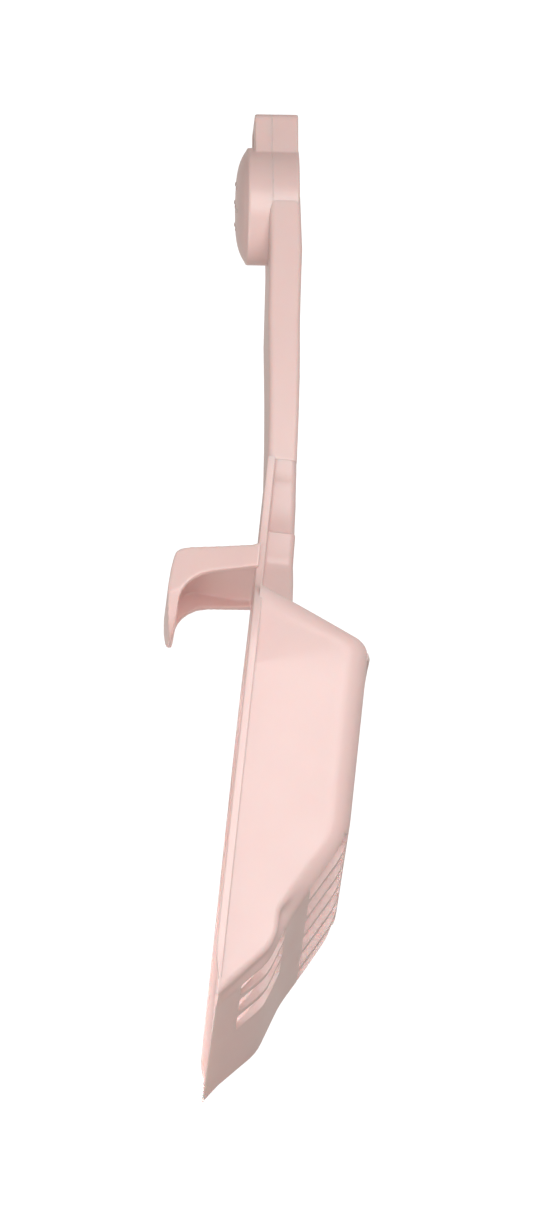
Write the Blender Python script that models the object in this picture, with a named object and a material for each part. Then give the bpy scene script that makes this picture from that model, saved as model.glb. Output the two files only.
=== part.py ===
"""Hanging sifting scoop: a deep scoop with a slotted floor, a channel handle, a round head with a
hanging tab, and a rim hook. Metres, +Z up, handle up, the bowl's open side facing -Y.

Every height below is measured up from the corners of the lip and every depth back from the rear
face of the rim. The root empty then moves the whole scoop, so that the world origin lies in the
middle of the hook's flat underside, where a box's rim carries it."""

import math

import bmesh
import bpy
from mathutils import Matrix, Vector

MM = 0.001
GAP = 0.3

# Bowl, in millimetres
RIM_HALF = 55.0
WALL_TOP_HALF = 52.3
WALL = 2.0
FLOOR = 2.6
DRAFT = 0.14
DEPTH = 31.9
RIM_CUT = 0.3
SHEET_TOP = -0.8
THIN_LIP = 0.5
RAMP_STRETCH = 1.2
FAN_HEIGHT = 95.0
BACK_TOP = 122.0
NOSE_RADIUS = 2.5
CORNER_RADIUS = 9.0
SHOULDER_RADIUS = 9.0
FLOOR_COLUMNS = 20
# (height, depth) of the outer surface from the lip to the flat bottom, at the sides and in the middle
SIDE_PROFILE = ((0.0, 1.4), (14.7, 14.6), (21.8, 13.4), (49.1, DEPTH), (FAN_HEIGHT, DEPTH))
MIDDLE_PROFILE = ((-6.4, -0.7), (9.4, 13.2), (24.5, 18.3), (49.1, DEPTH), (FAN_HEIGHT, DEPTH))
PROFILE_ROUNDING = (3.0, 3.0, 6.0)
BACK_PROFILE = ((FAN_HEIGHT, DEPTH), (107.9, DEPTH), (118.4, 8.2), (BACK_TOP + 0.4, -0.8))
BACK_ROUNDING = (4.0, 2.0)
MIDDLE_FLAT_HALF = 43.0
MIDDLE_BLEND_HALF = 52.0

# Sieve
SLOT_PITCH = 16.3
SLOT_WIDTH = 11.7
WINDOW_HALF = 44.2
SIEVE_LOW, SIEVE_HIGH = 31.5, 53.0
NOSE_SLOT_LOW, NOSE_SLOT_HIGH = 4.2, 20.4
NOSE_SLOT_CENTRES = (0.5, 1.5, 2.5)
NOSE_SLOT_LIMIT = 42.0
LIP_TOP = -1.0
BAND_LOW = 21.2

# Rim flange
FLANGE = 2.3
FLANGE_INNER_HALF = 50.2
SHOULDER_START, SHOULDER_ARC = 100.0, 24.0
SHOULDER_TURN = 72
INNER_START, INNER_ARC = 98.0, 21.0
NECK_HALF = 16.5
NECK_TOP = 168.8
# (half width, height) of the flange's outline from the shoulder to the handle
NECK_OUTLINE = ((24.0, 128.5), (19.0, 133.0), (NECK_HALF + 0.4, 140.0), (NECK_HALF, 150.0),
                (NECK_HALF, NECK_TOP))

# Neck and handle: (height, half width, front depth, back depth)
FLARE_RINGS = ((119.6, 23.0, GAP, 9.0), (126.0, 19.5, GAP, 8.8), (132.0, 17.0, GAP, 8.4),
               (138.8, 15.6, GAP, 7.9))
COLLAR_RINGS = ((139.1, 15.2, GAP, 7.9), (147.6, 15.2, GAP, 7.4))
WAIST_RINGS = ((147.9, 12.6, GAP, 7.4), (152.0, 12.4, GAP, 7.0), (158.0, 12.9, GAP, 6.4),
               (163.0, 14.0, GAP, 6.1), (168.8, 16.0, GAP, 5.8))
GRIP_RINGS = ((169.1, 16.5, -2.3, 5.8), (182.0, 16.5, -3.3, 5.0), (195.5, 16.5, -4.6, 4.0),
              (213.0, 16.5, -6.6, 2.3), (234.0, 16.5, -7.6, 1.0), (252.0, 16.5, -8.3, -1.3))
# (depth, height) outline that clears the bowl's sloping back wall
BACK_SLOPE = ((-6.0, 90.0), (-6.0, 125.6), (0.0, 122.9), (8.2, 119.4), (12.0, 117.6), (12.0, 90.0))
GRIP_WALL = 2.2
POCKETS = 4
POCKET_LOW, POCKET_HIGH = 172.0, 229.0
RIB = 1.8

# Head, given upright and then tilted forward about its seam by HEAD_TILT degrees
HEAD_HEIGHT = 251.0
HEAD_RADIUS = 16.9
HEAD_TILT = 5.8
HEAD_BACK, HEAD_SEAM, HEAD_RIM = -1.3, -9.1, -16.2
DOME_RISE = 2.9
TAB_TOP, TAB_HALF_LOW, TAB_HALF_HIGH = 276.1, 11.2, 10.4
TAB_BACK, TAB_FRONT = -1.5, -14.0
HOLE_HEIGHT, HOLE_RADIUS = 270.3, 3.4

# Rim hook
HOOK_ROOT = -2.6
HOOK_SEAT = 137.0
SEAT_DEPTH = -12.0
HOOK_HALF_ROOT, HOOK_HALF_ARM = 21.0, 16.0
HOOK_TAPER_MIDDLE = (18.4, -14.0)
HOOK_REACH = -27.5
HOOK_WEB = 2.2
TONGUE_HEIGHT = 131.3
# (depth, height) of the hook's outline, seen from the side
HOOK_OUTLINE = ((HOOK_ROOT, 142.0), (-12.3, 140.6), (-23.8, 139.4), (-25.7, 137.8), (-26.6, 133.0),
                (-26.8, 124.0), (-25.9, 117.0), (-24.6, 114.4), (-23.6, 116.5), (-23.3, 121.0),
                (-22.6, 126.9), (-20.3, 129.6), (-15.3, 132.0), (HOOK_ROOT, 135.0))
HOOK_POCKET = ((HOOK_ROOT - 1.4, 110.0), (-23.2, 110.0), (-23.2, HOOK_SEAT - 4.0),
               (-20.0, HOOK_SEAT), (HOOK_ROOT - 1.4, HOOK_SEAT))

# Heel ridge
HEEL_HALF, HEEL_LOW, HEEL_HIGH, HEEL_RISE = 39.5, 103.8, 106.2, 0.6

PINK = (0.845, 0.605, 0.565, 1.0)


def clear():
    for old in list(bpy.data.objects):
        bpy.data.objects.remove(old, do_unlink=True)


def plastic(name):
    material = bpy.data.materials.new(name + "_plastic")
    material.use_nodes = True
    shader = material.node_tree.nodes["Principled BSDF"]
    shader.inputs["Base Color"].default_value = PINK
    shader.inputs["Roughness"].default_value = 0.35
    shader.inputs["Metallic"].default_value = 0.0
    return material


def keep(name, mesh, root):
    """A named object with its own material, parented to the root."""
    part = bpy.data.objects.new(name, mesh)
    bpy.context.collection.objects.link(part)
    part.parent = root
    mesh.materials.append(plastic(name))
    mesh.shade_smooth()
    mesh.set_sharp_from_angle(angle=math.radians(30))
    return part


def finish_mesh(name, bm):
    """Points are in millimetres until here."""
    bmesh.ops.remove_doubles(bm, verts=bm.verts[:], dist=1e-4)
    bmesh.ops.recalc_face_normals(bm, faces=bm.faces[:])
    bmesh.ops.scale(bm, vec=(MM, MM, MM), verts=bm.verts[:])
    mesh = bpy.data.meshes.new(name)
    bm.to_mesh(mesh)
    bm.free()
    return mesh


def loft(name, rings):
    """A closed solid through rings of equal length, capped at both ends."""
    bm = bmesh.new()
    loops = [[bm.verts.new(point) for point in ring] for ring in rings]
    for low, high in zip(loops, loops[1:]):
        for i in range(len(low)):
            j = (i + 1) % len(low)
            bm.faces.new((low[i], low[j], high[j], high[i]))
    bm.faces.new(loops[0][::-1])
    bm.faces.new(loops[-1])
    return finish_mesh(name, bm)


def box(name, low, high):
    corners = [(x, y) for x, y in ((low[0], low[1]), (high[0], low[1]), (high[0], high[1]),
                                   (low[0], high[1]))]
    return loft(name, [[(x, y, z) for x, y in corners] for z in (low[2], high[2])])


def prism_y(name, outline, front, back):
    """An (x, z) outline carried along Y."""
    return loft(name, [[(x, y, z) for x, z in outline] for y in (front, back)])


def prism_x(name, outline, left, right):
    """A (y, z) outline carried along X."""
    return loft(name, [[(x, y, z) for y, z in outline] for x in (left, right)])


def cut(part, mesh, operation="DIFFERENCE"):
    """A Boolean whose tool stays in the scene, hidden."""
    tool = bpy.data.objects.new(f"tool_{part.name}_{len(part.modifiers)}", mesh)
    bpy.context.collection.objects.link(tool)
    tool.parent = part.parent
    tool.hide_render = True
    tool.display_type = "WIRE"
    boolean = part.modifiers.new(f"cut_{len(part.modifiers)}", "BOOLEAN")
    boolean.operation = operation
    boolean.solver = "EXACT"
    boolean.object = tool
    return tool


def arc(centre, radius, start, end, steps):
    return [(centre[0] + radius * math.cos(math.radians(start + (end - start) * i / steps)),
             centre[1] + radius * math.sin(math.radians(start + (end - start) * i / steps)))
            for i in range(steps + 1)]


def rounded(corners, cuts, steps=4):
    """A polyline whose inner corners are eased by a curve that starts and ends a cut away."""
    points = [Vector(corners[0])]
    for before, corner, after, length in zip(corners, corners[1:], corners[2:], cuts):
        corner = Vector(corner)
        start = corner + (Vector(before) - corner).normalized() * length
        end = corner + (Vector(after) - corner).normalized() * length
        for i in range(steps + 1):
            t = i / steps
            points.append(start.lerp(corner, t).lerp(corner.lerp(end, t), t))
    points.append(Vector(corners[-1]))
    return points


def ease(value, low, high):
    t = min(1.0, max(0.0, (value - low) / (high - low)))
    return t * t * (3 - 2 * t)


def section(reach, radius, inset, place):
    """One row of the bowl's surface, from the +X rim round the floor to the -X rim.
    place(x, share, r) is the point x across, r away from the rim and share of the way to the floor."""
    reach = max(THIN_LIP, reach - inset)
    radius = min(radius, 0.6 * reach)
    top_half = WALL_TOP_HALF - inset
    edge = top_half - DRAFT * reach
    straight = reach - radius
    half = [(top_half - DRAFT * straight * i / 3, straight * i / 3) for i in range(3)]
    half += [(edge - radius + x, straight + r) for x, r in arc((0, 0), radius, 0, 90, 5)]
    inner = edge - radius
    floor = [(inner * (1 - 2 * i / FLOOR_COLUMNS), reach) for i in range(1, FLOOR_COLUMNS)]
    row = half + floor + [(-x, r) for x, r in reversed(half)]
    return [place(x, r / reach, r) for x, r in row]


def bowl_rows(inset):
    """Rows of the bowl's outer surface, or of the surface that lies inset inside it."""
    rows = []
    side = rounded(SIDE_PROFILE, PROFILE_ROUNDING)
    middle = rounded(MIDDLE_PROFILE, PROFILE_ROUNDING)
    for (side_z, side_y), (mid_z, mid_y) in zip(side, middle):
        def place(x, share, r, side_z=side_z, side_y=side_y, mid_z=mid_z, mid_y=mid_y):
            share *= 1 - ease(abs(x), MIDDLE_FLAT_HALF, MIDDLE_BLEND_HALF)
            return (x, SHEET_TOP + r + (mid_y - side_y) * share, side_z + (mid_z - side_z) * share)
        steep = RAMP_STRETCH if side_z < SIDE_PROFILE[3][0] else 1.0
        radius = NOSE_RADIUS + (CORNER_RADIUS - NOSE_RADIUS) * ease(side_z, SIDE_PROFILE[1][0], 60.0)
        rows.append(section(side_y - SHEET_TOP, radius - 0.6 * inset, inset * steep, place))
    back = rounded(BACK_PROFILE, BACK_ROUNDING)
    for number, point in enumerate(back[1:], 1):
        away = point - Vector((FAN_HEIGHT, SHEET_TOP))
        radius = CORNER_RADIUS + (SHOULDER_RADIUS - CORNER_RADIUS) * number / (len(back) - 1)

        def place(x, share, r, way=away.normalized()):
            return (x, SHEET_TOP + way.y * r, FAN_HEIGHT + way.x * r)
        rows.append(section(away.length, radius - inset, inset, place))
    return rows


def bowl_sheet(name, root, thickness):
    """The whole bowl as one thick sheet. Each piece of the bowl is a stretch of it."""
    bm = bmesh.new()
    outer, inner = [[[bm.verts.new(point) for point in row] for row in bowl_rows(inset)]
                    for inset in (0.0, thickness)]
    for low, high, low_in, high_in in zip(outer, outer[1:], inner, inner[1:]):
        for i in range(len(low) - 1):
            bm.faces.new((low[i], high[i], high[i + 1], low[i + 1]))
            bm.faces.new((low_in[i], low_in[i + 1], high_in[i + 1], high_in[i]))
        for i, step in ((0, 1), (-1, -1)):
            rim = (low[i], low_in[i], high_in[i], high[i])
            bm.faces.new(rim[::step])
    for row, row_in, step in ((outer[0], inner[0], 1), (outer[-1], inner[-1], -1)):
        for i in range(len(row) - 1):
            edge = (row[i], row[i + 1], row_in[i + 1], row_in[i])
            bm.faces.new(edge[::step])
    return keep(name, finish_mesh(name, bm), root)


def bowl_shell(root):
    part = bowl_sheet("bowl_shell", root, WALL)
    cut(part, box("window", (-WINDOW_HALF, -20, -20), (WINDOW_HALF, 60, SIEVE_HIGH)))
    cut(part, box("above_rim", (-70, -30, -30), (70, RIM_CUT, 150)))


def bowl_stretch(name, root, half, low, high):
    part = bowl_sheet(name, root, FLOOR)
    cut(part, box("keep", (-half, -20, low), (half, 60, high)), "INTERSECT")
    return part


def sieve_bars(root):
    bar = SLOT_PITCH - SLOT_WIDTH
    for number in range(5):
        x = (number - 2) * SLOT_PITCH
        part = bowl_sheet(f"sieve_bar_{number + 1}", root, FLOOR)
        cut(part, box("keep", (x - bar / 2, -20, SIEVE_LOW + GAP), (x + bar / 2, 60, SIEVE_HIGH - GAP)),
            "INTERSECT")


def nose(root):
    half = WINDOW_HALF - GAP
    bowl_stretch("nose_lip", root, half, -20, LIP_TOP)
    grille = bowl_stretch("nose_grille", root, half, LIP_TOP + GAP, BAND_LOW)
    for step in NOSE_SLOT_CENTRES:
        x = step * SLOT_PITCH
        cut(grille, box("slot", (x - SLOT_WIDTH / 2, -20, NOSE_SLOT_LOW),
                        (min(x + SLOT_WIDTH / 2, NOSE_SLOT_LIMIT), 60, NOSE_SLOT_HIGH)))
    bowl_stretch("cross_band", root, half, BAND_LOW + GAP, SIEVE_LOW)


def rim_flange(root):
    outer = [(RIM_HALF, 0.0), (RIM_HALF, SHOULDER_START)]
    outer += arc((RIM_HALF - SHOULDER_ARC, SHOULDER_START), SHOULDER_ARC, 0, SHOULDER_TURN, 8)[1:]
    outer += NECK_OUTLINE
    inner = [(FLANGE_INNER_HALF, 0.0), (FLANGE_INNER_HALF, INNER_START)]
    inner += arc((FLANGE_INNER_HALF - INNER_ARC, INNER_START), INNER_ARC, 0, 90, 8)[1:]
    outline = outer + [(-x, z) for x, z in reversed(outer)]
    outline += [(-x, z) for x, z in inner] + list(reversed(inner))
    bm = bmesh.new()
    face = bm.faces.new([bm.verts.new((x, -FLANGE, z)) for x, z in outline])
    solid = bmesh.ops.extrude_face_region(bm, geom=[face])
    moved = [item for item in solid["geom"] if isinstance(item, bmesh.types.BMVert)]
    bmesh.ops.translate(bm, vec=(0, FLANGE, 0), verts=moved)
    bmesh.ops.triangulate(bm, faces=[item for item in bm.faces if len(item.verts) > 4])
    keep("rim_flange", finish_mesh("rim_flange", bm), root)


def strip_ring(height, half, front, back, radius=1.5):
    """A level rounded rectangle, as one section of the neck or the handle."""
    corners = []
    for cx, cy, start in ((half - radius, back - radius, 0), (radius - half, back - radius, 90),
                          (radius - half, front + radius, 180), (half - radius, front + radius, 270)):
        corners += arc((cx, cy), radius, start, start + 90, 3)
    return [(x, y, height) for x, y in corners]


def strip(name, root, rings):
    return keep(name, loft(name, [strip_ring(*ring) for ring in rings]), root)


def neck(root):
    flare = strip("neck_flare", root, FLARE_RINGS)
    cut(flare, prism_x("slope", BACK_SLOPE, -40, 40))
    strip("neck_collar", root, COLLAR_RINGS)
    strip("neck_waist", root, WAIST_RINGS)


def grip(root):
    part = strip("handle_grip", root, GRIP_RINGS)
    pitch = (POCKET_HIGH - POCKET_LOW + RIB) / POCKETS
    half = GRIP_RINGS[0][1] - GRIP_WALL
    for number in range(POCKETS):
        low = POCKET_LOW + number * pitch
        rings = [strip_ring(z, half, front_at(z) + GRIP_WALL, 20.0) for z in (low, low + (pitch - RIB) / 2,
                                                                             low + pitch - RIB)]
        cut(part, loft("pocket", rings))
    clearance = arc((0, HEAD_HEIGHT), HEAD_RADIUS + GAP, 0, 360, 48)[:-1]
    cut(part, tilted(prism_y("head_space", clearance, -30, 30)))


def front_at(height):
    for low, high in zip(GRIP_RINGS, GRIP_RINGS[1:]):
        if height <= high[0]:
            return low[2] + (high[2] - low[2]) * (height - low[0]) / (high[0] - low[0])
    return GRIP_RINGS[-1][2]


def tab_outline():
    corner = 2.0
    across, up = TAB_HALF_HIGH - corner, TAB_TOP - corner
    top = arc((across, up), corner, 0, 90, 3) + arc((-across, up), corner, 90, 180, 3)
    low = HEAD_HEIGHT + 8.0
    return [(-TAB_HALF_LOW, low), (TAB_HALF_LOW, low)] + top


def tilted(mesh):
    """A mesh of the head, leaned forward about the line where the seam crosses its middle."""
    pivot = Vector((0, HEAD_SEAM, HEAD_HEIGHT)) * MM
    lean = Matrix.Rotation(math.radians(HEAD_TILT), 4, "X")
    mesh.transform(Matrix.Translation(pivot) @ lean @ Matrix.Translation(-pivot))
    return mesh


def head(root):
    circle = arc((0, HEAD_HEIGHT), HEAD_RADIUS, 0, 360, 48)[:-1]
    hole = arc((0, HOLE_HEIGHT), HOLE_RADIUS, 0, 360, 20)[:-1]
    disc = tilted(prism_y("handle_head", circle, HEAD_SEAM + GAP / 2, HEAD_BACK))
    back = keep("handle_head", disc, root)
    cut(back, tilted(prism_y("tab", tab_outline(), HEAD_SEAM + GAP / 2, TAB_BACK)), "UNION")
    cut(back, tilted(prism_y("hole", hole, -30, 10)))
    sphere = (HEAD_RADIUS ** 2 + DOME_RISE ** 2) / (2 * DOME_RISE)
    rings = [[(x, HEAD_SEAM - GAP / 2, z) for x, z in circle], [(x, HEAD_RIM, z) for x, z in circle]]
    for step in range(1, 6):
        radius = HEAD_RADIUS * math.cos(math.radians(15 * step))
        rise = math.sqrt(sphere ** 2 - radius ** 2) - (sphere - DOME_RISE)
        ring = arc((0, HEAD_HEIGHT), radius, 0, 360, 48)[:-1]
        rings.append([(x, HEAD_RIM - rise, z) for x, z in ring])
    cap = keep("head_cap", tilted(loft("head_cap", rings)), root)
    cut(cap, tilted(prism_y("tab", tab_outline(), TAB_FRONT, HEAD_SEAM - GAP / 2)), "UNION")
    cut(cap, tilted(prism_y("hole", hole, -30, 10)))


def hook(root):
    part = keep("rim_hook", prism_x("rim_hook", HOOK_OUTLINE, -HOOK_HALF_ROOT, HOOK_HALF_ROOT), root)
    inner = HOOK_HALF_ARM - HOOK_WEB
    cut(part, prism_x("pocket", HOOK_POCKET, -inner, inner))
    half = [(HOOK_HALF_ROOT + 1, HOOK_ROOT + 1), (HOOK_HALF_ROOT, HOOK_ROOT), HOOK_TAPER_MIDDLE,
            (HOOK_HALF_ARM, HOOK_REACH)]
    taper = half + [(-x, y) for x, y in reversed(half)]
    cut(part, loft("taper", [[(x, y, z) for x, y in taper] for z in (100, 150)]), "INTERSECT")
    above = TONGUE_HEIGHT + 2
    tongue = arc((0, TONGUE_HEIGHT), HOOK_HALF_ARM, 180, 360, 16)
    tongue += [(HOOK_HALF_ARM, above), (30, above), (30, 160), (-30, 160), (-30, above),
               (-HOOK_HALF_ARM, above)]
    cut(part, prism_y("tongue", tongue, -40, 10), "INTERSECT")


def heel(root):
    back = DEPTH + GAP
    outline = [(back, HEEL_LOW), (back + HEEL_RISE, HEEL_LOW + 0.6), (back + HEEL_RISE, HEEL_HIGH - 0.6),
               (back, HEEL_HIGH)]
    keep("heel_ridge", prism_x("heel_ridge", outline, -HEEL_HALF, HEEL_HALF), root)


def main():
    clear()
    root = bpy.data.objects.new("scoop", None)
    bpy.context.collection.objects.link(root)
    root.location = (0, -SEAT_DEPTH * MM, -HOOK_SEAT * MM)
    bowl_shell(root)
    sieve_bars(root)
    nose(root)
    rim_flange(root)
    neck(root)
    grip(root)
    head(root)
    hook(root)
    heel(root)


main()
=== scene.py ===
"""Looks for the hanging sifting scoop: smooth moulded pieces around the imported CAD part.

Every height is measured up from the lowest point of the CAD rim, and every depth back from the rear
face of that rim, in millimetres. RIM_FOOT is that point in the row frame."""

import math

import bmesh
import bpy
from mathutils import Matrix, Vector

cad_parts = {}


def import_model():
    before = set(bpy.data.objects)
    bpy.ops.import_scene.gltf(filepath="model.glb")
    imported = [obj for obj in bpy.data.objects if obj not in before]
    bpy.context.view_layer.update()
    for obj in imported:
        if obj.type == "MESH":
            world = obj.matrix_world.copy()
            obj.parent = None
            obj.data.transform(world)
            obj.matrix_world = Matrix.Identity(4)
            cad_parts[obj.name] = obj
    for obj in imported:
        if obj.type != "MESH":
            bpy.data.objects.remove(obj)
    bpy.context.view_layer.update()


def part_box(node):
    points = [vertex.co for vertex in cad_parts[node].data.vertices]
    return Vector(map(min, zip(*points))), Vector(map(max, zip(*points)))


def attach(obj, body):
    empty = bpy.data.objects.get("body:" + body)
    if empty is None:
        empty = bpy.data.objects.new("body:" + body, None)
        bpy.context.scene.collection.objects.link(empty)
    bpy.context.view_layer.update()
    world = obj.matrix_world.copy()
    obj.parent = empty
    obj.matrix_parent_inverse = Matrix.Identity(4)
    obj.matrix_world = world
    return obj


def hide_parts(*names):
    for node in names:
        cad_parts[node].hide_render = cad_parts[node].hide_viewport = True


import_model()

MM = 0.001
RIM_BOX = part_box("rim_flange")
RIM_FOOT = Vector((0.0, RIM_BOX[1].y, RIM_BOX[0].z))

# Bowl: each profile is a run of (height, depth), with how far from each inner corner its curve starts.
# The side profile is the wall's lower edge, the middle one the floor, and the back one the slope behind.
WALL_TOP_HALF = 52.3
WALL = 2.0
DRAFT = 0.14
DEPTH = 31.9
SHEET_TOP = -0.8
THIN_LIP = 0.5
RAMP_STRETCH = 1.2
FAN_HEIGHT = 95.0
RAMP_TOP = 49.1
SIDE_PROFILE = ((-4.0, -0.4), (12.5, 13.2), (17.7, 14.6), (24.0, 14.6), (32.2, 20.6), (RAMP_TOP, DEPTH),
                (FAN_HEIGHT, DEPTH))
SIDE_ROUNDING = (2.0, 1.6, 1.6, 2.5, 6.0)
MIDDLE_PROFILE = ((-5.8, -0.8), (9.4, 13.2), (24.5, 18.3), (RAMP_TOP, DEPTH), (FAN_HEIGHT, DEPTH))
MIDDLE_ROUNDING = (3.0, 3.0, 6.0)
BACK_PROFILE = ((FAN_HEIGHT, DEPTH), (107.9, DEPTH), (118.4, 8.2), (122.4, SHEET_TOP))
BACK_ROUNDING = (4.0, 2.0)
MIDDLE_FLAT_HALF, MIDDLE_BLEND_HALF = 43.0, 48.0
CORNER_RADII = ((-9.0, 2.6), (0.0, 2.6), (12.0, 2.0), (17.0, 1.1), (24.5, 1.8), (32.0, 4.6), (40.0, 6.0),
                (62.0, 7.0))
SHOULDER_RADIUS = 7.0
LIP_THINNING, LIP_THINNING_TOP = 0.32, 9.0
ROW_STEP = 1.6
WALL_COLUMNS = 24
BACK_ROWS = 46
BEND_STEPS, BEND_GAP = 24, 0.05
CORNER_SHARE = 0.6
INNER_RADIUS_SHARE, INNER_RADIUS_LEAST = 0.6, 0.3
BOWL_SHARP = 50

# Sieve: slot centres count in pitches from the middle
SLOT_PITCH = 16.3
SLOT_WIDTH_OUTSIDE, SLOT_WIDTH_INSIDE = 12.7, 11.7
MAIN_SLOTS = (32.2, 50.6)
NOSE_SLOTS = (1.6, 20.2)
SLOT_LIMIT = 44.2
SLOT_CORNER = 1.1
SIEVE_THICKENING = 1.5
SIEVE_START, SIEVE_END = (6.0, 12.0), (50.0, 54.0)
NOSE_SLOT_CENTRES = (0.5, 1.5, 2.5)
MAIN_SLOT_CENTRES = (-2.5, -1.5, -0.5, 0.5, 1.5, 2.5)
SLOT_EDGE = 0.4
BAR_STEPS, SLOT_STEPS = 2, 9

# Rim
FLANGE = 2.3
RIM_HALF = 55.0
RIM_OUTLINE = ((52.0, 0.6), (52.9, 3.0), (54.3, 6.2), (RIM_HALF, 9.5))
RIM_INNER_HALF = 50.2
RIM_THINNING = 0.6
RIM_EDGE = 0.4
ARC_STEPS = 20
SHOULDER_START, SHOULDER_ARC, SHOULDER_TURN = 100.0, 24.0, 72
INNER_START, INNER_ARC = 98.0, 21.0
NECK_HALF = 16.5
NECK_OUTLINE = ((27.5, 126.4), (23.6, 128.9), (20.4, 132.2), (18.0, 137.0), (16.9, 143.0),
                (NECK_HALF, 150.0), (NECK_HALF, 170.0))

# Neck: (height, half width, back depth)
NECK_RINGS = ((170.5, 16.2, 6.0), (169.0, 16.3, 6.1), (166.2, 15.7, 6.4), (163.4, 14.9, 6.6),
              (162.8, 14.5, 6.7), (160.0, 14.4, 6.9), (157.0, 14.0, 7.2), (154.0, 13.2, 7.4),
              (151.0, 12.0, 7.6), (148.0, 10.6, 7.9), (147.8, 14.9, 7.9), (147.4, 15.2, 8.0),
              (144.0, 14.4, 8.1), (141.0, 13.5, 8.2), (139.2, 12.8, 8.3), (138.2, 13.0, 8.4),
              (136.0, 14.3, 8.6), (132.0, 17.0, 8.9), (126.0, 20.0, 9.2), (122.0, 22.4, 9.4))
NECK_FRONT = -1.0
NECK_CORNER = 1.8
BACK_SLOPE = 0.42
NECK_FOOT, NECK_FOOT_SPREAD = 121.4, 0.8
NECK_SHARP = 38

# Handle: (height, half width, front depth, back depth)
GRIP_RINGS = ((169.2, 16.5, -2.3, 6.2), (182.0, 16.5, -3.3, 5.4), (195.5, 16.5, -4.6, 4.4),
              (213.0, 16.5, -6.6, 2.7), (234.0, 16.5, -8.2, 1.2), (250.0, 16.5, -9.9, -1.0))
GRIP_CORNER = 1.3
GRIP_WALL = 2.2
POCKETS = 4
POCKET_LOW, POCKET_HIGH = 172.0, 229.0
RIB = 1.8
POCKET_CORNER, PAST_BACK = 1.5, 20.0
GRIP_VOXEL, GRIP_SMOOTHING = 0.42, 4

# Head, given upright and then tilted forward about its seam; HEAD_LEAN is the tilt's sine
HEAD_HEIGHT = 251.0
HEAD_RADIUS = 16.9
HEAD_LEAN = 0.101
HEAD_BACK, HEAD_SEAM, HEAD_RIM = -1.3, -9.1, -16.2
SEAM = -0.5  # negative: the two halves overlap by this much before they are softened
HEAD_EDGE = 0.7
DOME_RISE = 2.9
DOME_FULLNESS = 4.0
TAB_TOP, TAB_HALF_LOW, TAB_HALF_HIGH = 276.1, 11.2, 10.4
TAB_BACK, TAB_FRONT = -1.5, -14.0
HOLE_HEIGHT, HOLE_RADIUS = 270.3, 3.4
PIP_RING = 6.8
PIP_RADIUS, PIP_RISE = 0.7, 0.3
POLE_RADIUS = 0.2
SEAM_EDGE, TAB_EDGE, TAB_CORNER, TAB_ROOT = 0.1, 0.5, 1.8, 8.0
DOME_STEPS, DOME_SWEEP = 24, 89.4
HEAD_VOXEL, HEAD_SMOOTHING = 0.3, 2

# Hook
HOOK_ROOT = -1.6
HOOK_SEAT = 137.0
HOOK_OUTLINE = ((HOOK_ROOT, 142.2), (-2.3, 142.0), (-4.0, 141.4), (-12.3, 140.6), (-21.3, 139.8),
                (-24.2, 139.2), (-25.5, 138.2), (-26.0, 136.6), (-26.5, 133.0), (-26.8, 128.0),
                (-26.4, 123.0), (-25.7, 118.6), (-25.2, 116.4), (-24.6, 115.2), (-24.0, 116.0),
                (-23.7, 118.0), (-23.5, 120.4), (-23.4, 122.7), (-23.2, 125.2), (-22.6, 127.2),
                (-21.4, 129.1), (-19.7, 130.7), (-17.5, 132.1), (-14.6, 133.0), (-9.9, 133.8),
                (HOOK_ROOT, 135.2))
HOOK_HALF_ROOT, HOOK_HALF_ARM = 21.0, 16.0
TONGUE_HALF, TONGUE_DROP = 17.3, 16.0
HOOK_TAPER = ((HOOK_HALF_ROOT + 2, 2.0), (HOOK_HALF_ROOT, HOOK_ROOT), (18.4, -14.0),
              (HOOK_HALF_ARM, -27.5))
HOOK_WEB = 2.2
TONGUE_HEIGHT = 131.3
TONGUE_START = -21.5
HOOK_POCKET = ((-FLANGE, 105.0), (-23.2, 105.0), (-23.2, HOOK_SEAT - 5.0), (-22.6, HOOK_SEAT - 2.6),
               (-21.2, HOOK_SEAT - 1.0), (-19.0, HOOK_SEAT), (-FLANGE, HOOK_SEAT))
POCKET_FLARE, POCKET_END = 3.2, -23.3
CUT_HALF, CUT_LOW, CUT_HIGH = 30, 100, 160
TAPER_HEIGHTS = (100, 150)
TONGUE_MARGIN = 2
HOOK_VOXEL, HOOK_SMOOTHING = 0.34, 5

# Heel
HEEL_HALF, HEEL_LOW, HEEL_HIGH = 39.5, 103.8, 106.2
HEEL_RISE, HEEL_RISE_END = 0.4, 0.9
HEEL_STEPS, HEEL_ROOT = 32, 0.6
HEEL_GROWTH, HEEL_FULLNESS, HEEL_END_SHARE = 4, 24, 0.04

# Camera: its right and forward axes in the row frame, its distance in metres, the height that the
# picture takes in, and how far right of and above RIM_FOOT its middle lies, in millimetres
VIEW_RIGHT = Vector((0.044, 0.993, 0.1006))
VIEW_AHEAD = Vector((-0.949, 0.010, 0.315))
VIEW_DISTANCE = 7.0
VIEW_TALL = 348.5714
VIEW_ACROSS, VIEW_RISE = 17.2857, 121.4286
SENSOR = 36.0
CLIP_END = 100.0

# Light: the sky's strength on the camera's side and on the far side, and its colour
SKY_NEAR, SKY_FAR = 0.30, 0.75
SKY_COLOUR = (1.0, 0.90, 0.84, 1.0)
BACKDROP = 1.1
FLOOR_HALF, FLOOR_LEVEL = 30.0, -4.8
# (name, target, direction to the light, distance and size in metres, power, spread in degrees)
LIGHTS = (("key", (0.0, 15.0, 55.0), (0.96, 0.13, 0.15), 0.55, 0.45, 2.05, 180.0),
          ("fill", (0.0, -12.0, 135.0), (0.25, -0.35, -0.90), 0.55, 0.30, 0.9, 180.0),
          ("mouth", (-40.0, 12.0, 26.0), (0.45, -0.75, -0.48), 0.25, 0.10, 0.035, 44.0))

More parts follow.
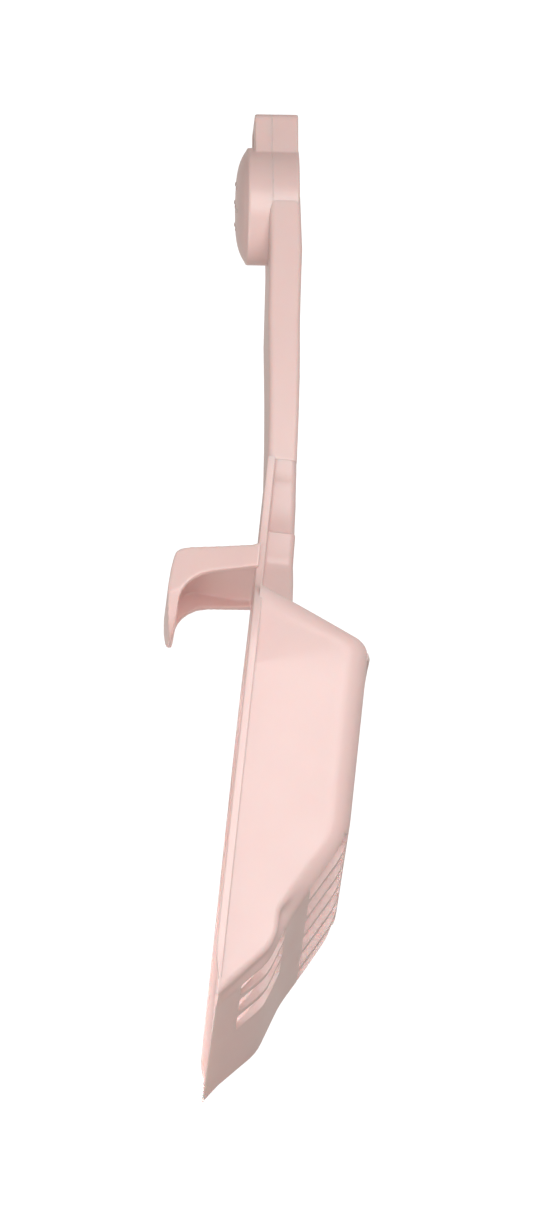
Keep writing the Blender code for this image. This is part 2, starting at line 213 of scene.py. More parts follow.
# Plastic: noise scales per metre, bump distances in metres
CLOUD_SCALE, GLOSS_SCALE, SKIN_SCALE, FLOW_SCALE = 22.0, 60.0, 2600.0, 90.0
CLOUD_SHADE = (0.975, 0.955, 0.95)
GLOSS_LOWER, GLOSS_UPPER = 0.06, 0.07
SKIN_DEPTH, FLOW_DEPTH, FLOW_STRENGTH = 0.00004, 0.0002, 0.25


def to_row(x, depth, height):
    return RIM_FOOT + Vector((x, depth, height)) * MM


def rounded(corners, reach, steps=10):
    """A polyline with each inner corner replaced by a curve that starts its reach before it."""
    points = [Vector(corners[0])]
    for before, corner, after, length in zip(corners, corners[1:], corners[2:], reach):
        corner = Vector(corner)
        start = corner + (Vector(before) - corner).normalized() * length
        end = corner + (Vector(after) - corner).normalized() * length
        for i in range(steps + 1):
            t = i / steps
            points.append(start.lerp(corner, t).lerp(corner.lerp(end, t), t))
    points.append(Vector(corners[-1]))
    return points


def resampled(points, count):
    """The polyline cut into count equal steps."""
    points = [Vector(p) for p in points]
    lengths = [0.0]
    for a, b in zip(points, points[1:]):
        lengths.append(lengths[-1] + (b - a).length)
    out, k = [], 0
    for i in range(count + 1):
        want = lengths[-1] * i / count
        while k < len(lengths) - 2 and lengths[k + 1] < want:
            k += 1
        span = max(1e-9, lengths[k + 1] - lengths[k])
        out.append(points[k].lerp(points[k + 1], (want - lengths[k]) / span))
    return out


def eased(points, rounds=3):
    """The open polyline with its corners cut off again and again, until it reads as a curve."""
    points = [Vector(p) for p in points]
    for _ in range(rounds):
        cut = [points[0]]
        for a, b in zip(points, points[1:]):
            cut += [a.lerp(b, 0.25), a.lerp(b, 0.75)]
        points = cut + [points[-1]]
    return [tuple(p) for p in points]


def ease(value, low, high):
    t = min(1.0, max(0.0, (value - low) / (high - low)))
    return t * t * (3 - 2 * t)


def arc(centre, radius, start, end, steps):
    turns = [math.radians(start + (end - start) * i / steps) for i in range(steps + 1)]
    return [(centre[0] + radius * math.cos(a), centre[1] + radius * math.sin(a)) for a in turns]


def add_piece(name, points, faces):
    """A closed mesh through points given as (x, depth, height)."""
    mesh = bpy.data.meshes.new(name)
    mesh.from_pydata([to_row(*p) for p in points], [], faces)
    bm = bmesh.new()
    bm.from_mesh(mesh)
    bmesh.ops.remove_doubles(bm, verts=bm.verts, dist=1e-7)
    bmesh.ops.dissolve_degenerate(bm, edges=bm.edges, dist=1e-7)
    bmesh.ops.recalc_face_normals(bm, faces=bm.faces)
    bm.to_mesh(mesh)
    bm.free()
    piece = bpy.data.objects.new(name, mesh)
    bpy.context.collection.objects.link(piece)
    return piece


def loft(name, rings):
    """A closed skin over rings of equal count, with flat ends."""
    count = len(rings[0])
    points = [p for ring in rings for p in ring]
    faces = []
    for k in range(len(rings) - 1):
        for i in range(count):
            j = (i + 1) % count
            faces.append((k * count + i, k * count + j, (k + 1) * count + j, (k + 1) * count + i))
    faces.append(tuple(reversed(range(count))))
    faces.append(tuple(range((len(rings) - 1) * count, len(rings) * count)))
    return add_piece(name, points, faces)


def inset(outline, amount):
    """The closed outline moved inwards, whichever way round it runs."""
    area = sum(a[0] * b[1] - b[0] * a[1] for a, b in zip(outline, outline[1:] + outline[:1]))
    side = 1 if area > 0 else -1
    moved = []
    for before, here, after in zip(outline[-1:] + outline[:-1], outline, outline[1:] + outline[:1]):
        one = (Vector(here) - Vector(before)).normalized()
        two = (Vector(after) - Vector(here)).normalized()
        normal = Vector((-(one.y + two.y), one.x + two.x)).normalized() * side
        grow = amount / max(0.4, normal.dot(Vector((-one.y, one.x)) * side))
        moved.append(tuple(Vector(here) + normal * grow))
    return moved


def slab(name, outline, front, back, edge_front, edge_back, steps=4):
    """An outline of (x, height) made solid between two depths of the tilted head, its edges rounded."""
    levels = []
    for i in range(steps + 1):
        a = math.radians(90 * i / steps)
        levels.append((edge_front * (1 - math.sin(a)), front + edge_front * (1 - math.cos(a))))
    for i in range(steps, -1, -1):
        a = math.radians(90 * i / steps)
        levels.append((edge_back * (1 - math.sin(a)), back - edge_back * (1 - math.cos(a))))
    rings = [[leaning(x, y, z) for x, z in inset(outline, cut)] for cut, y in levels]
    return loft(name, rings)


def prism(name, outline, low, high, along):
    """An outline of two coordinates carried along axis 'x' (depth, height) or 'y' (x, height)."""
    if along == "x":
        return loft(name, [[(at, y, z) for y, z in outline] for at in (low, high)])
    return loft(name, [[(x, at, z) for x, z in outline] for at in (low, high)])


def bake(piece):
    """Applies every modifier, so that the piece is one plain mesh."""
    graph = bpy.context.evaluated_depsgraph_get()
    graph.update()
    mesh = bpy.data.meshes.new_from_object(piece.evaluated_get(graph), depsgraph=graph)
    piece.modifiers.clear()
    piece.data = mesh
    return piece


def combine(piece, other, operation="DIFFERENCE"):
    cut = piece.modifiers.new("cut", "BOOLEAN")
    cut.operation = operation
    cut.solver = "EXACT"
    cut.object = other
    bake(piece)
    bpy.data.objects.remove(other)
    return piece


def soften(piece, voxel, rounds):
    """Rounds every edge a little, as a mould does, by a fine remesh and some smoothing."""
    remesh = piece.modifiers.new("remesh", "REMESH")
    remesh.mode = "VOXEL"
    remesh.voxel_size = voxel * MM
    smooth = piece.modifiers.new("smooth", "SMOOTH")
    smooth.factor = 0.5
    smooth.iterations = rounds
    return bake(piece)


def shade(piece, angle=None):
    """Smooth shading, split at edges sharper than the angle."""
    for face in piece.data.polygons:
        face.use_smooth = True
    if angle is not None:
        piece.data.set_sharp_from_angle(angle=math.radians(angle))
    return piece


# ---------------------------------------------------------------- materials


def plastic(name, colour, roughness, grain):
    """Satin moulded plastic: faint clouding of its colour, a fine skin texture and uneven gloss."""
    material = bpy.data.materials.new(name)
    material.use_nodes = True
    nodes, links = material.node_tree.nodes, material.node_tree.links
    shader = nodes["Principled BSDF"]
    shader.inputs["IOR"].default_value = 1.49
    shader.inputs["Subsurface Weight"].default_value = 0.35
    shader.inputs["Subsurface Radius"].default_value = (1.0, 0.42, 0.30)
    shader.inputs["Subsurface Scale"].default_value = 0.0025
    shader.inputs["Coat Weight"].default_value = 0.06
    shader.inputs["Coat Roughness"].default_value = 0.16
    place = nodes.new("ShaderNodeTexCoord")

    def noise(scale, detail):
        node = nodes.new("ShaderNodeTexNoise")
        node.inputs["Scale"].default_value = scale
        node.inputs["Detail"].default_value = detail
        links.new(place.outputs["Object"], node.inputs["Vector"])
        return node

    def ramp(source, low, high):
        node = nodes.new("ShaderNodeValToRGB")
        node.color_ramp.elements[0].position = 0.35
        node.color_ramp.elements[1].position = 0.65
        node.color_ramp.elements[0].color = low
        node.color_ramp.elements[1].color = high
        links.new(source.outputs["Fac"], node.inputs["Fac"])
        return node

    cloud = noise(CLOUD_SCALE, 3.0)
    darker = tuple(c * f for c, f in zip(colour, CLOUD_SHADE)) + (1.0,)
    tint = ramp(cloud, darker, colour + (1.0,))
    links.new(tint.outputs["Color"], shader.inputs["Base Color"])
    streak = noise(GLOSS_SCALE, 4.0)
    gloss = nodes.new("ShaderNodeMapRange")
    gloss.inputs["To Min"].default_value = roughness - GLOSS_LOWER
    gloss.inputs["To Max"].default_value = roughness + GLOSS_UPPER
    links.new(streak.outputs["Fac"], gloss.inputs["Value"])
    links.new(gloss.outputs["Result"], shader.inputs["Roughness"])
    fine, flow = noise(SKIN_SCALE, 2.0), noise(FLOW_SCALE, 2.0)
    skin = nodes.new("ShaderNodeBump")
    skin.inputs["Strength"].default_value = grain
    skin.inputs["Distance"].default_value = SKIN_DEPTH
    links.new(fine.outputs["Fac"], skin.inputs["Height"])
    wave = nodes.new("ShaderNodeBump")
    wave.inputs["Strength"].default_value = FLOW_STRENGTH
    wave.inputs["Distance"].default_value = FLOW_DEPTH
    links.new(flow.outputs["Fac"], wave.inputs["Height"])
    links.new(skin.outputs["Normal"], wave.inputs["Normal"])
    links.new(wave.outputs["Normal"], shader.inputs["Normal"])
    return material


PINK = plastic("pink_plastic", (0.850, 0.652, 0.625), 0.36, 0.35)
# The neck is the same plastic: its tone only stands in for the shade it lies in.
NECK_PINK = plastic("pink_plastic_neck", (0.775, 0.590, 0.562), 0.36, 0.30)
# The handle, head and hook are the same plastic as the bowl: this slightly darker, beiger tone is painted
# shade, standing in for the dimmer light up there.
PAINTED_SHADE_PINK = plastic("pink_plastic_painted_shade", (0.838, 0.635, 0.604), 0.33, 0.30)


def settle(piece, material, *nodes):
    """Hands a finished piece to the frame: its material, its body and the nodes it stands for."""
    piece.data.materials.clear()
    piece.data.materials.append(material)
    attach(piece, "root")
    if nodes:
        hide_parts(*nodes)
    return piece


# ---------------------------------------------------------------- bowl


def depth_at(profile, height):
    """The depth of a rounded profile at a height."""
    for low, high in zip(profile, profile[1:]):
        if height <= high.x:
            share = (height - low.x) / max(1e-9, high.x - low.x)
            return low.y + (high.y - low.y) * share
    return profile[-1].y


def floor_columns(slot_width):
    """Half of the floor's columns, from the middle out, with one on each slot edge."""
    columns, low = [0.0], 0.0
    for centre in NOSE_SLOT_CENTRES:
        for side, steps in ((-1, BAR_STEPS), (1, SLOT_STEPS)):
            edge = min(centre * SLOT_PITCH + side * slot_width / 2, SLOT_LIMIT)
            columns += [low + (edge - low) * i / steps for i in range(1, steps + 1)]
            low = edge
    return columns


COLUMNS = floor_columns(SLOT_WIDTH_OUTSIDE)
INNER_COLUMNS = floor_columns(SLOT_WIDTH_INSIDE)


def half_section(reach, radius, cut, columns):
    """(x, distance from the rim) from the middle of the floor round the corner to the rim."""
    reach = max(THIN_LIP, reach - cut)
    radius = min(radius, CORNER_SHARE * reach)
    top_half = WALL_TOP_HALF - min(cut, WALL)
    edge = top_half - DRAFT * reach
    straight, inner = reach - radius, edge - radius

    def reach_at(x):
        if x <= inner:
            return reach
        if x <= edge:
            return straight + math.sqrt(max(0.0, radius ** 2 - (x - inner) ** 2))
        return straight * max(0.0, top_half - x) / (top_half - edge)

    floor = [(x, reach_at(x)) for x in columns]
    last = floor[-1]
    bend = [p for p in arc((inner, straight), radius, 90, 0, BEND_STEPS) if p[0] > last[0] + BEND_GAP]
    wall = resampled([last] + bend + [(top_half, 0.0)], WALL_COLUMNS)[1:]
    return floor + [tuple(p) for p in wall]


def stations():
    """Each row of the bowl from the lip to the rim behind it, as (reach, corner radius, place)."""
    side, middle = rounded(SIDE_PROFILE, SIDE_ROUNDING), rounded(MIDDLE_PROFILE, MIDDLE_ROUNDING)
    radii = [Vector(p) for p in CORNER_RADII]
    stops = [MIDDLE_PROFILE[0][0], *NOSE_SLOTS, *MAIN_SLOTS, FAN_HEIGHT]
    heights = [stops[0]]
    for low, high in zip(stops, stops[1:]):
        steps = math.ceil((high - low) / ROW_STEP)
        heights += [low + (high - low) * i / steps for i in range(1, steps + 1)]
    rows = []
    bend, lip, side_lip = MIDDLE_PROFILE[1][0], MIDDLE_PROFILE[0][0], SIDE_PROFILE[0][0]
    for mid_z in heights:
        side_z = mid_z if mid_z > bend else side_lip + (bend - side_lip) * (mid_z - lip) / (bend - lip)
        side_y, mid_y = depth_at(side, side_z), depth_at(middle, mid_z)

        def place(x, share, r, side_z=side_z, side_y=side_y, mid_z=mid_z, mid_y=mid_y):
            share *= 1 - ease(abs(x), MIDDLE_FLAT_HALF, MIDDLE_BLEND_HALF)
            return (x, SHEET_TOP + r + (mid_y - side_y) * share, side_z + (mid_z - side_z) * share)
        steep = RAMP_STRETCH if side_z < RAMP_TOP else 1.0
        steep *= LIP_THINNING + (1 - LIP_THINNING) * ease(mid_z, lip, LIP_THINNING_TOP)
        steep *= 1 + (SIEVE_THICKENING - 1) * ease(mid_z, *SIEVE_START) * (1 - ease(mid_z, *SIEVE_END))
        rows.append((side_y - SHEET_TOP, depth_at(radii, side_z), steep, place, mid_z))
    back = resampled(rounded(BACK_PROFILE, BACK_ROUNDING), BACK_ROWS)
    for point in back[1:]:
        away = point - Vector((FAN_HEIGHT, SHEET_TOP))

        def place(x, share, r, way=away.normalized()):
            return (x, SHEET_TOP + way.y * r, FAN_HEIGHT + way.x * r)
        rows.append((away.length, SHOULDER_RADIUS, 1.0, place, None))
    return rows


def surface(rows, thickness):
    """The rows' points on the outer surface, or the surface that lies thickness inside it."""
    out = []
    for reach, radius, steep, place, _ in rows:
        cut = thickness * steep
        if thickness:
            inner = max(INNER_RADIUS_LEAST, radius - INNER_RADIUS_SHARE * thickness)
            half = half_section(reach, inner, cut, INNER_COLUMNS)
        else:
            half = half_section(reach, radius, 0.0, COLUMNS)
        top = max(THIN_LIP, reach - cut)
        right = [place(x, r / top, r) for x, r in half]
        left = [place(-x, r / top, r) for x, r in half[:0:-1]]
        out.append(left + right)
    return out


def in_slot(x, height):
    """Whether a cell is left open, by its middle. Rows behind the floor have no height, and no slots."""
    if height is None or abs(x) >= SLOT_LIMIT:
        return False
    for centres, (low, high) in ((MAIN_SLOT_CENTRES, MAIN_SLOTS), (NOSE_SLOT_CENTRES, NOSE_SLOTS)):
        near = any(abs(x - c * SLOT_PITCH) < SLOT_WIDTH_OUTSIDE / 2 for c in centres)
        if near and low < height < high:
            return True
    return False


def round_corners(piece, corners):
    """Rounds the slots' corners, each given by its outer and its inner point."""
    bm = bmesh.new()
    bm.from_mesh(piece.data)
    wanted = [(to_row(*a), to_row(*b)) for a, b in corners]
    near = MM * 0.01
    edges = []
    for edge in bm.edges:
        one, two = edge.verts[0].co, edge.verts[1].co
        if any((one - a).length + (two - b).length < near or (one - b).length + (two - a).length < near
               for a, b in wanted):
            edges.append(edge)
    bmesh.ops.bevel(bm, geom=edges, offset=SLOT_CORNER * MM, segments=4, affect="EDGES", profile=0.5,
                    clamp_overlap=True)
    bm.to_mesh(piece.data)
    bm.free()
    return piece


def bowl():
    """The bowl and its sieve as one thick sheet: cells that fall in a slot are left open."""
    rows = stations()
    outer, inner = surface(rows, 0.0), surface(rows, WALL)
    across = [-x for x in reversed(COLUMNS[1:])] + COLUMNS
    width = len(outer[0])
    first = WALL_COLUMNS
    solid = {}
    for i in range(len(rows) - 1):
        for j in range(width - 1):
            k = j - first
            inside = 0 <= k < len(across) - 1
            x = (across[k] + across[k + 1]) / 2 if inside else math.inf
            low, high = rows[i][4], rows[i + 1][4]
            middle = (low + high) / 2 if low is not None and high is not None else None
            solid[i, j] = not in_slot(x, middle)
    points = [p for row in outer for p in row] + [p for row in inner for p in row]
    base = len(rows) * width

    def at(i, j, layer):
        return layer * base + i * width + j

    faces, corners = [], []
    for (i, j), kept in solid.items():
        around = [solid.get(cell, True) for cell in ((i, j), (i - 1, j), (i, j - 1), (i - 1, j - 1))]
        if sum(around) == 3:
            corners.append((points[at(i, j, 0)], points[at(i, j, 1)]))
        if not kept:
            continue
        quad = ((i, j), (i, j + 1), (i + 1, j + 1), (i + 1, j))
        faces.append(tuple(at(a, b, 0) for a, b in quad))
        faces.append(tuple(at(a, b, 1) for a, b in reversed(quad)))
        for (a, b), (c, d), (di, dj) in ((quad[0], quad[1], (-1, 0)), (quad[1], quad[2], (0, 1)),
                                         (quad[2], quad[3], (1, 0)), (quad[3], quad[0], (0, -1))):
            if not solid.get((i + di, j + dj), False):
                faces.append((at(a, b, 0), at(a, b, 1), at(c, d, 1), at(c, d, 0)))
    piece = round_corners(add_piece("bowl", points, faces), corners)
    edge = piece.modifiers.new("edge", "BEVEL")
    edge.width = SLOT_EDGE * MM
    edge.segments = 3
    edge.limit_method = "ANGLE"
    edge.angle_limit = math.radians(BOWL_SHARP)
    bake(piece)
    shade(piece, BOWL_SHARP)
    return settle(piece, PINK, "bowl_shell", "cross_band", "nose_grille", "nose_lip", "sieve_bar_1",
                  "sieve_bar_2", "sieve_bar_3", "sieve_bar_4", "sieve_bar_5")


def heel():
    """The low ridge that the bowl stands on when it is set down on its back."""
    rings = []
    for i in range(HEEL_STEPS + 1):
        x = HEEL_HALF * (2 * i / HEEL_STEPS - 1)
        share = abs(x / HEEL_HALF)
        rise = HEEL_RISE + (HEEL_RISE_END - HEEL_RISE) * share ** HEEL_GROWTH
        rise *= math.sqrt(max(HEEL_END_SHARE, 1 - share ** HEEL_FULLNESS))
        middle, half = (HEEL_LOW + HEEL_HIGH) / 2, (HEEL_HIGH - HEEL_LOW) / 2
        ring = [(x, DEPTH - HEEL_ROOT, middle - half)]
        ring += [(x, DEPTH + rise * math.sin(math.radians(a)), middle - half * math.cos(math.radians(a)))
                 for a in range(0, 181, 20)]
        ring += [(x, DEPTH - HEEL_ROOT, middle + half)]
        rings.append(ring)
    return settle(shade(loft("heel", rings), BOWL_SHARP), PINK, "heel_ridge")


# ---------------------------------------------------------------- rim, neck, handle


def plate(name, outline, front, back, edge):
    """A closed outline of (x, height) made into a plate with rounded edges."""
    curve = bpy.data.curves.new(name, "CURVE")
    curve.dimensions = "2D"
    curve.fill_mode = "BOTH"
    curve.extrude = ((back - front) / 2 - edge) * MM
    curve.bevel_depth = edge * MM
    curve.bevel_resolution = 3
    curve.offset = -edge * MM
    spline = curve.splines.new("POLY")
    spline.points.add(len(outline) - 1)
    spline.use_cyclic_u = True
    for point, (x, z) in zip(spline.points, outline):
        point.co = (x * MM, z * MM, 0.0, 1.0)
    drawn = bpy.data.objects.new(name, curve)
    bpy.context.collection.objects.link(drawn)
    graph = bpy.context.evaluated_depsgraph_get()
    graph.update()
    mesh = bpy.data.meshes.new_from_object(drawn.evaluated_get(graph), depsgraph=graph)
    bpy.data.objects.remove(drawn)
    upright = Matrix.Rotation(math.radians(90), 4, "X")
    mesh.transform(Matrix.Translation(RIM_FOOT + Vector((0, (front + back) / 2, 0)) * MM) @ upright)
    bm = bmesh.new()
    bm.from_mesh(mesh)
    bmesh.ops.remove_doubles(bm, verts=bm.verts, dist=2e-6)
    bmesh.ops.recalc_face_normals(bm, faces=bm.faces)
    bm.to_mesh(mesh)
    bm.free()
    piece = bpy.data.objects.new(name, mesh)
    bpy.context.collection.objects.link(piece)
    return piece


def rim():
    """The flange round the bowl's mouth, and the strip it becomes up the neck."""
    outer = list(RIM_OUTLINE) + [(RIM_HALF, SHOULDER_START)]
    outer += arc((RIM_HALF - SHOULDER_ARC, SHOULDER_START), SHOULDER_ARC, 0, SHOULDER_TURN, ARC_STEPS)[1:]
    outer = outer[:-1] + eased([outer[-1], *NECK_OUTLINE])
    hole = [(RIM_INNER_HALF, z) for _, z in RIM_OUTLINE] + [(RIM_INNER_HALF, INNER_START)]
    hole += arc((RIM_INNER_HALF - INNER_ARC, INNER_START), INNER_ARC, 0, 90, ARC_STEPS)[1:]
    outline = outer + [(-x, z) for x, z in reversed(outer)]
    outline += [(-x, z) for x, z in hole] + list(reversed(hole))
    piece = plate("rim", outline, -FLANGE, 0.0, RIM_EDGE)
    low, high = RIM_OUTLINE[0][1], RIM_OUTLINE[-1][1]
    for vertex in piece.data.vertices:
        thin = 1 - RIM_THINNING * (1 - ease((vertex.co.z - RIM_FOOT.z) / MM, low, high))
        vertex.co.y = RIM_FOOT.y + (vertex.co.y - RIM_FOOT.y) * thin
    return settle(shade(piece, 40), PINK, "rim_flange")


def strap_ring(height, half, front, back, radius, steps=6):
    """A level rounded rectangle, as one section of the neck or the handle."""
    ring = []
    for cx, cy, start in ((half - radius, back - radius, 0), (radius - half, back - radius, 90),
                          (radius - half, front + radius, 180), (half - radius, front + radius, 270)):
        ring += [(x, y, height) for x, y in arc((cx, cy), radius, start, start + 90, steps)]
    return ring


def neck():
    """The neck behind the strip: a hollowed waist, a collar with a sharp top edge, and the flare."""
    rings = [strap_ring(z, half, NECK_FRONT, back, NECK_CORNER) for z, half, back in NECK_RINGS]
    half, back = NECK_RINGS[-1][1] + NECK_FOOT_SPREAD, NECK_RINGS[-1][2]
    foot = strap_ring(0.0, half, NECK_FRONT, back, NECK_CORNER)
    rings.append([(x, y, NECK_FOOT - BACK_SLOPE * max(0.0, y)) for x, y, _ in foot])
    piece = shade(loft("neck", rings), NECK_SHARP)
    return settle(piece, NECK_PINK, "neck_waist", "neck_collar", "neck_flare")


def front_at(height):
    """The depth of the handle's front at a height."""
    for low, high in zip(GRIP_RINGS, GRIP_RINGS[1:]):
        if height <= high[0]:
            return low[2] + (high[2] - low[2]) * (height - low[0]) / (high[0] - low[0])
    return GRIP_RINGS[-1][2]


def grip():
    """The channel handle, its back hollowed into pockets between cross ribs."""
    piece = loft("handle", [strap_ring(*ring, GRIP_CORNER) for ring in GRIP_RINGS])
    pitch = (POCKET_HIGH - POCKET_LOW + RIB) / POCKETS
    half = NECK_HALF - GRIP_WALL
    for number in range(POCKETS):
        low = POCKET_LOW + number * pitch
        heights = [low, low + (pitch - RIB) / 2, low + pitch - RIB]
        pocket = [strap_ring(z, half, front_at(z) + GRIP_WALL, PAST_BACK, POCKET_CORNER) for z in heights]
        combine(piece, loft("pocket", pocket))
    soften(piece, GRIP_VOXEL, GRIP_SMOOTHING)
    return settle(shade(piece), PAINTED_SHADE_PINK, "handle_grip")


# ---------------------------------------------------------------- head


def leaning(x, y, z):
    """A point of the upright head, tilted forward with it."""
    rise = z - HEAD_HEIGHT
    return (x, y - HEAD_LEAN * rise, z + HEAD_LEAN * (y - HEAD_SEAM))


def turned(name, profile, steps=96):
    """A round body about the head's axis, through (radius, depth) from one pole to the other."""
    rings = []
    for radius, y in profile:
        turns = [2 * math.pi * i / steps for i in range(steps)]
        rings.append([leaning(radius * math.cos(a), y, HEAD_HEIGHT + radius * math.sin(a)) for a in turns])
    return loft(name, rings)


def rounded_edge(radius, y, edge, inwards, steps=5):
    """(radius, depth) points of a rounded rim whose flat side is at depth y."""
    out = []
    for i in range(steps + 1):
        a = math.radians(90 * i / steps)
        out.append((radius - edge * (1 - math.sin(a)), y + inwards * edge * (1 - math.cos(a))))
    return out


def tab_outline():
    across, up = TAB_HALF_HIGH - TAB_CORNER, TAB_TOP - TAB_CORNER
    top = arc((across, up), TAB_CORNER, 0, 90, 6) + arc((-across, up), TAB_CORNER, 90, 180, 6)
    low = HEAD_HEIGHT + TAB_ROOT
    return [(-TAB_HALF_LOW, low), (TAB_HALF_LOW, low)] + top


def hole():
    outline = arc((0, HOLE_HEIGHT), HOLE_RADIUS, 0, 360, 40)[:-1]
    return loft("hole", [[leaning(x, y, z) for x, z in outline] for y in (-40, 20)])


def head_back():
    seam = HEAD_SEAM + SEAM / 2
    profile = [(POLE_RADIUS, seam)] + rounded_edge(HEAD_RADIUS, seam, SEAM_EDGE, 1)
    profile += rounded_edge(HEAD_RADIUS, HEAD_BACK, HEAD_EDGE, -1)[::-1]
    profile.append((POLE_RADIUS, HEAD_BACK))
    piece = turned("head_back", profile)
    combine(piece, slab("tab", tab_outline(), seam, TAB_BACK, SEAM_EDGE, TAB_EDGE), "UNION")
    combine(piece, hole())
    soften(piece, HEAD_VOXEL, HEAD_SMOOTHING)
    return settle(shade(piece), PAINTED_SHADE_PINK, "handle_head")


def dome(radius):
    """The front's depth at a distance from the head's axis."""
    return HEAD_RIM - DOME_RISE * (1 - (radius / (HEAD_RADIUS - HEAD_EDGE)) ** DOME_FULLNESS)


def head_front():
    seam = HEAD_SEAM - SEAM / 2
    profile = [(POLE_RADIUS, seam)] + rounded_edge(HEAD_RADIUS, seam, SEAM_EDGE, -1)
    profile += rounded_edge(HEAD_RADIUS, HEAD_RIM, HEAD_EDGE, 1)[::-1]
    for i in range(1, DOME_STEPS + 1):
        radius = (HEAD_RADIUS - HEAD_EDGE) * math.cos(math.radians(DOME_SWEEP * i / DOME_STEPS))
        profile.append((radius, dome(radius)))
    piece = turned("head_front", profile)
    combine(piece, slab("tab", tab_outline(), TAB_FRONT, seam, TAB_EDGE, SEAM_EDGE), "UNION")
    combine(piece, hole())
    soften(piece, HEAD_VOXEL, HEAD_SMOOTHING)
    return settle(shade(piece), PAINTED_SHADE_PINK, "head_cap")


def pips():
    """Plain raised dots on the dome, where the real one has a raised mark."""
    bm = bmesh.new()
    for x, z in [(0.0, 0.0)] + arc((0.0, 0.0), PIP_RING, 30, 330, 5):
        place = Matrix.Translation(to_row(*leaning(x, dome(math.hypot(x, z)), HEAD_HEIGHT + z)))
        size = Matrix.Diagonal((PIP_RADIUS * MM, PIP_RISE * MM, PIP_RADIUS * MM, 1))
        bmesh.ops.create_uvsphere(bm, u_segments=20, v_segments=12, radius=1, matrix=place @ size)
    mesh = bpy.data.meshes.new("head_pips")
    bm.to_mesh(mesh)
    bm.free()
    piece = bpy.data.objects.new("head_pips", mesh)
    bpy.context.collection.objects.link(piece)
    return settle(shade(piece), PAINTED_SHADE_PINK)


# ---------------------------------------------------------------- hook


def hook():
    """The rim hook: a tapering channel, open below between two webs, that turns down into a tongue."""
    piece = prism("hook", HOOK_OUTLINE, -HOOK_HALF_ROOT - 1, HOOK_HALF_ROOT + 1, "x")
    inner = HOOK_HALF_ARM - HOOK_WEB
    wide = [(HOOK_HALF_ROOT - HOOK_WEB, 0.0), (inner, POCKET_END)]
    hollow = prism("pocket", HOOK_POCKET, -inner - POCKET_FLARE, inner + POCKET_FLARE, "x")
    sides = wide + [(-x, y) for x, y in reversed(wide)]
    flare = loft("flare", [[(x, y, z) for x, y in sides] for z in TAPER_HEIGHTS])
    combine(hollow, flare, "INTERSECT")
    combine(piece, hollow)
    taper = list(HOOK_TAPER) + [(-x, y) for x, y in reversed(HOOK_TAPER)]
    combine(piece, loft("taper", [[(x, y, z) for x, y in taper] for z in TAPER_HEIGHTS]), "INTERSECT")
    above = TONGUE_HEIGHT + TONGUE_MARGIN
    tongue = [(x * TONGUE_HALF, TONGUE_HEIGHT + z * TONGUE_DROP) for x, z in arc((0, 0), 1, 180, 360, 40)]
    tongue += [(TONGUE_HALF, above), (CUT_HALF, above), (CUT_HALF, CUT_HIGH), (-CUT_HALF, CUT_HIGH),
               (-CUT_HALF, above), (-TONGUE_HALF, above)]
    kept = prism("tongue", tongue, -40, TONGUE_START, "y")
    whole = [(-CUT_HALF, CUT_LOW), (CUT_HALF, CUT_LOW), (CUT_HALF, CUT_HIGH), (-CUT_HALF, CUT_HIGH)]
    arm = prism("arm", whole, TONGUE_START - 0.1, 10, "y")
    combine(kept, arm, "UNION")
    combine(piece, kept, "INTERSECT")
    soften(piece, HOOK_VOXEL, HOOK_SMOOTHING)
    return settle(shade(piece), PAINTED_SHADE_PINK, "rim_hook")


bowl()
heel()
rim()
neck()
grip()
head_back()
head_front()
pips()
hook()


# ---------------------------------------------------------------- stage, light, camera


def stage():
    """A pale floor far below, out of the camera's way, since the camera looks up at the scoop."""
    mesh = bpy.data.meshes.new("floor")
    corners = [(x * FLOOR_HALF, y * FLOOR_HALF, FLOOR_LEVEL) for x, y in ((-1, -1), (1, -1), (1, 1), (-1, 1))]
    mesh.from_pydata(corners, [], [(0, 1, 2, 3)])
    floor = bpy.data.objects.new("floor", mesh)
    bpy.context.collection.objects.link(floor)
    pale = bpy.data.materials.new("pale_floor")
    pale.use_nodes = True
    shader = pale.node_tree.nodes["Principled BSDF"]
    shader.inputs["Base Color"].default_value = (0.8, 0.79, 0.78, 1.0)
    shader.inputs["Roughness"].default_value = 0.8
    mesh.materials.append(pale)


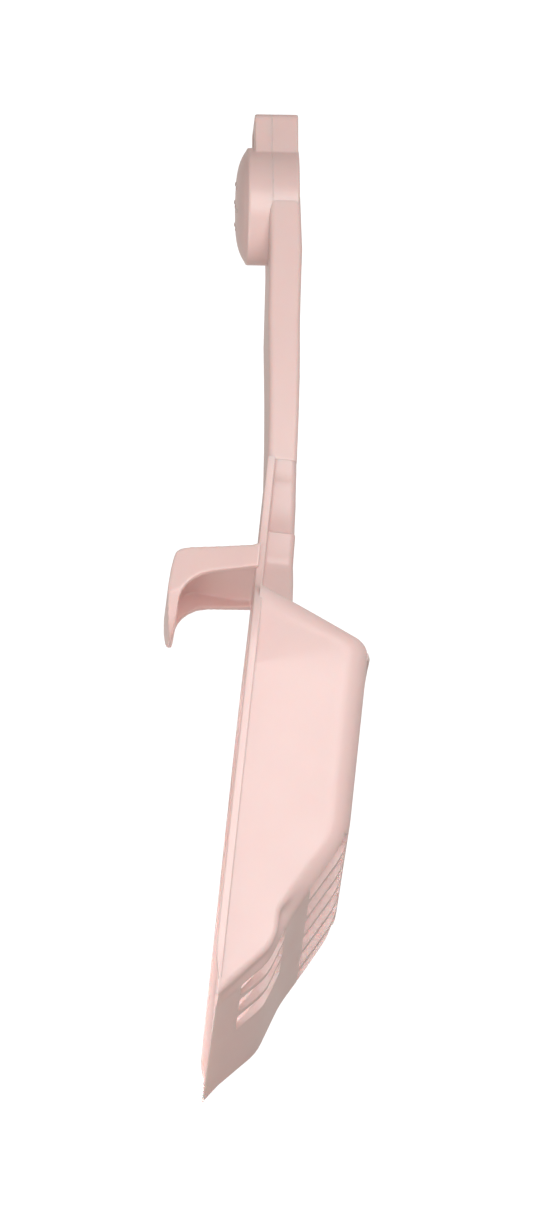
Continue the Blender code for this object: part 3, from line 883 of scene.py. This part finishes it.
def world():
    """Soft, slightly warm light all round, stronger from the far side, before a plain white backdrop."""
    sky = bpy.data.worlds.new("studio")
    bpy.context.scene.world = sky
    sky.use_nodes = True
    nodes, links = sky.node_tree.nodes, sky.node_tree.links
    place = nodes.new("ShaderNodeTexCoord")
    facing = nodes.new("ShaderNodeVectorMath")
    facing.operation = "DOT_PRODUCT"
    facing.inputs[1].default_value = VIEW_AHEAD.normalized()
    links.new(place.outputs["Generated"], facing.inputs[0])
    strength = nodes.new("ShaderNodeMapRange")
    strength.interpolation_type = "SMOOTHSTEP"
    strength.inputs["From Min"].default_value = 0.2
    strength.inputs["From Max"].default_value = 1.0
    strength.inputs["To Min"].default_value = SKY_NEAR
    strength.inputs["To Max"].default_value = SKY_FAR
    links.new(facing.outputs["Value"], strength.inputs["Value"])
    soft = nodes["Background"]
    soft.inputs["Color"].default_value = SKY_COLOUR
    links.new(strength.outputs["Result"], soft.inputs["Strength"])
    backdrop = nodes.new("ShaderNodeBackground")
    backdrop.inputs["Strength"].default_value = BACKDROP
    backdrop.inputs["Color"].default_value = (1.0, 1.0, 1.0, 1.0)
    path = nodes.new("ShaderNodeLightPath")
    seen = nodes.new("ShaderNodeMixShader")
    links.new(path.outputs["Is Camera Ray"], seen.inputs["Fac"])
    links.new(soft.outputs["Background"], seen.inputs[1])
    links.new(backdrop.outputs["Background"], seen.inputs[2])
    links.new(seen.outputs["Shader"], nodes["World Output"].inputs["Surface"])


def area_light(name, target, direction, distance, size, power, spread):
    lamp = bpy.data.lights.new(name, "AREA")
    lamp.shape = "DISK"
    lamp.size = size
    lamp.energy = power
    lamp.spread = math.radians(spread)
    holder = bpy.data.objects.new(name, lamp)
    bpy.context.collection.objects.link(holder)
    way = Vector(direction).normalized()
    holder.location = to_row(*target) + way * distance
    holder.rotation_euler = way.to_track_quat("Z", "Y").to_euler()
    holder.visible_camera = False


def camera():
    right = VIEW_RIGHT.normalized()
    up = right.cross(VIEW_AHEAD.normalized()).normalized()
    ahead = up.cross(right)
    middle = RIM_FOOT + (right * VIEW_ACROSS + up * VIEW_RISE) * MM
    lens = bpy.data.cameras.new("camera")
    lens.sensor_width = SENSOR
    lens.lens = VIEW_DISTANCE / (VIEW_TALL * MM) * SENSOR
    lens.clip_end = CLIP_END
    holder = bpy.data.objects.new("camera", lens)
    bpy.context.collection.objects.link(holder)
    turn = Matrix((right, up, -ahead)).transposed().to_4x4()
    holder.matrix_world = Matrix.Translation(middle - ahead * VIEW_DISTANCE) @ turn
    bpy.context.scene.camera = holder


stage()
world()
for light in LIGHTS:
    area_light(*light)
camera()
bpy.context.scene.view_settings.view_transform = "Standard"
